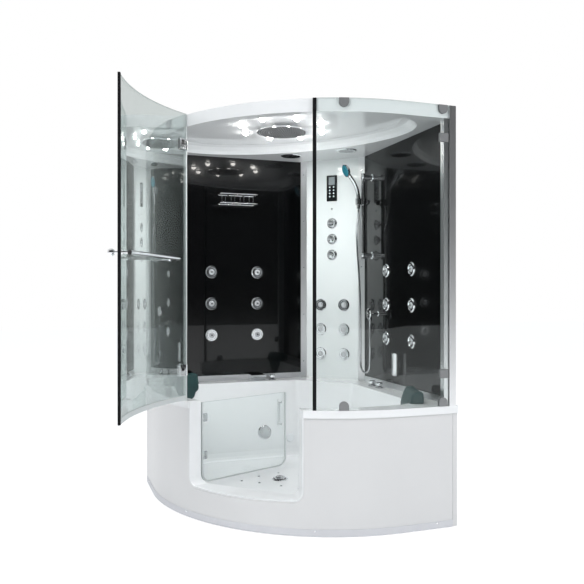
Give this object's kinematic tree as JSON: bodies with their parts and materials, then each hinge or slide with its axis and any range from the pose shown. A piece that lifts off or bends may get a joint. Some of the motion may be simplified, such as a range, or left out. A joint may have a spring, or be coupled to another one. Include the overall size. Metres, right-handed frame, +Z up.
{
  "type": "steam shower cabin",
  "caption": "Quarter-round steam shower cabin on a walk-in bath, with curved glass doors, body jets, riser rail, headrests and a domed roof.",
  "frame": {"origin": "on the floor under the middle of the square footprint, in the bottom of the middle levelling foot", "axes": "+Z up; the room corner is at +X +Y, the back wall faces -Y, the right wall faces -X and the curved front faces -X -Y"},
  "size_m": [1.7965, 1.453, 2.232],
  "materials": {
    "white_acrylic": "glossy moulded acrylic",
    "apron_white": "glossy acrylic panel",
    "kick_grey": "satin plastic",
    "galvanised_steel": "galvanised tube",
    "foot_rubber": "matt rubber and zinc stud",
    "chrome": "polished chrome",
    "waste_grey": "grey pipe plastic",
    "light_lens": "translucent white lens",
    "black_glass": "black back-painted glass",
    "aluminium": "satin anodised profile",
    "white_glass": "white back-painted glass",
    "jet_grey": "grey plastic nozzle",
    "unit_white": "painted casing and pipes",
    "panel_black": "black touch glass",
    "spray_black": "black rubber and plastic",
    "lamp": "lamp lens",
    "fan_black": "black plastic",
    "clear_glass": "clear toughened glass, faint green edge",
    "seal_black": "black magnetic strip",
    "handset_teal": "teal spray disc",
    "hose_steel": "metal spiral hose",
    "grip_white": "white plastic",
    "headrest_teal": "dark soft foam skin"
  },
  "bodies": {
    "cabin": {"bath_shell": "white_acrylic", "apron": "apron_white", "kick_band": "kick_grey", "base_frame": "galvanised_steel", "levelling_feet": "foot_rubber", "drain_flange": "chrome", "waste_trap": "waste_grey", "basin_jets": "chrome", "underwater_light": "light_lens", "back_wall_glass": "black_glass", "right_wall_glass": "black_glass", "wall_profiles": "aluminium", "column_profiles": "aluminium", "column_panel": "white_glass", "jet_rings": "chrome", "jet_noses": "jet_grey", "water_and_steam_unit": "unit_white", "control_panel": "panel_black", "temperature_sensor": "chrome", "knob_rosettes": "chrome", "roof_shell": "white_acrylic", "rain_shower": "chrome", "rain_face": "spray_black", "led_spots": "lamp", "ceiling_grilles": "chrome", "ceiling_units": "fan_black", "fixed_glass_left": "clear_glass", "fixed_glass_right": "clear_glass", "fixed_glass_seals": "seal_black", "glass_clamps": "chrome", "hinge_fixed_halves": "chrome", "riser_rail": "chrome", "outlet_elbow": "chrome", "shower_hose": "hose_steel", "wire_basket": "chrome", "wall_cup": "chrome", "waterfall_spout": "chrome", "headrest_left": "headrest_teal", "headrest_right": "headrest_teal", "cover_screws": "chrome"},
    "outer_door": {"outer_door_glass": "clear_glass", "outer_door_seals": "seal_black", "outer_door_hinges": "chrome", "door_handle": "chrome"},
    "inner_door": {"inner_door_glass": "clear_glass", "inner_door_seal": "seal_black", "inner_door_hinges": "chrome", "inner_door_grip": "grip_white"},
    "plug": {"drain_plug": "chrome"},
    "upper_knob": {"column_knob_upper": "chrome"},
    "middle_knob": {"column_knob_middle": "chrome"},
    "lower_knob": {"column_knob_lower": "chrome"},
    "fan": {"fan_impeller": "fan_black"},
    "handset_holder": {"slider": "chrome", "handset_body": "chrome", "handset_face": "handset_teal"},
    "clamp_knob": {"slider_knob": "fan_black"},
    "back_deck_knob": {"deck_knob_back": "chrome"},
    "left_side_knob": {"deck_knob_side_left": "chrome"},
    "right_side_knob": {"deck_knob_side_right": "chrome"}
  },
  "joints": [
    {"name": "outer_door_swing", "type": "hinge", "parent": "cabin", "child": "outer_door", "pos_m": [-0.60359, -0.08723, 1.4375], "axis": [0, 0, 1], "range_deg": [-20, 79.5]},
    {"name": "inner_door_swing", "type": "hinge", "parent": "cabin", "child": "inner_door", "pos_m": [-0.52991, -0.08019, 0.4345], "axis": [0, 0, 1], "range_deg": [-66.8, 28]},
    {"name": "plug_lift", "type": "slide", "parent": "cabin", "child": "plug", "axis": [0, 0, 1], "range_m": [-0.008, 0]},
    {"name": "upper_knob_turn", "type": "hinge", "parent": "cabin", "child": "upper_knob", "pos_m": [0.5215, 0.5215, 1.721], "axis": [-0.7071, -0.7071, 0], "range_deg": [-135, 135]},
    {"name": "middle_knob_turn", "type": "hinge", "parent": "cabin", "child": "middle_knob", "pos_m": [0.5215, 0.5215, 1.612], "axis": [-0.7071, -0.7071, 0], "range_deg": [-90, 90]},
    {"name": "lower_knob_turn", "type": "hinge", "parent": "cabin", "child": "lower_knob", "pos_m": [0.5215, 0.5215, 1.503], "axis": [-0.7071, -0.7071, 0], "range_deg": [0, 90]},
    {"name": "fan_spin", "type": "hinge", "parent": "cabin", "child": "fan", "pos_m": [0.21213, 0.49215, 2.17], "axis": [0, 0, 1], "continuous": true},
    {"name": "handset_slide", "type": "slide", "parent": "cabin", "child": "handset_holder", "axis": [0, 0, 1], "range_m": [-0.26, 0.08], "deforming": ["shower_hose"]},
    {"name": "clamp_knob_turn", "type": "hinge", "parent": "handset_holder", "child": "clamp_knob", "pos_m": [0.618, 0.226, 1.836], "axis": [1, 0, 0], "range_deg": [-180, 0]},
    {"name": "back_deck_knob_turn", "type": "hinge", "parent": "cabin", "child": "back_deck_knob", "pos_m": [0.121, 0.629, 0.645], "axis": [0, 0, 1], "range_deg": [-90, 90]},
    {"name": "left_side_knob_turn", "type": "hinge", "parent": "cabin", "child": "left_side_knob", "pos_m": [0.629, 0.113, 0.645], "axis": [0, 0, 1], "range_deg": [0, 180]},
    {"name": "right_side_knob_turn", "type": "hinge", "parent": "cabin", "child": "right_side_knob", "pos_m": [0.629, 0.01, 0.645], "axis": [0, 0, 1], "range_deg": [0, 180]}
  ]
}
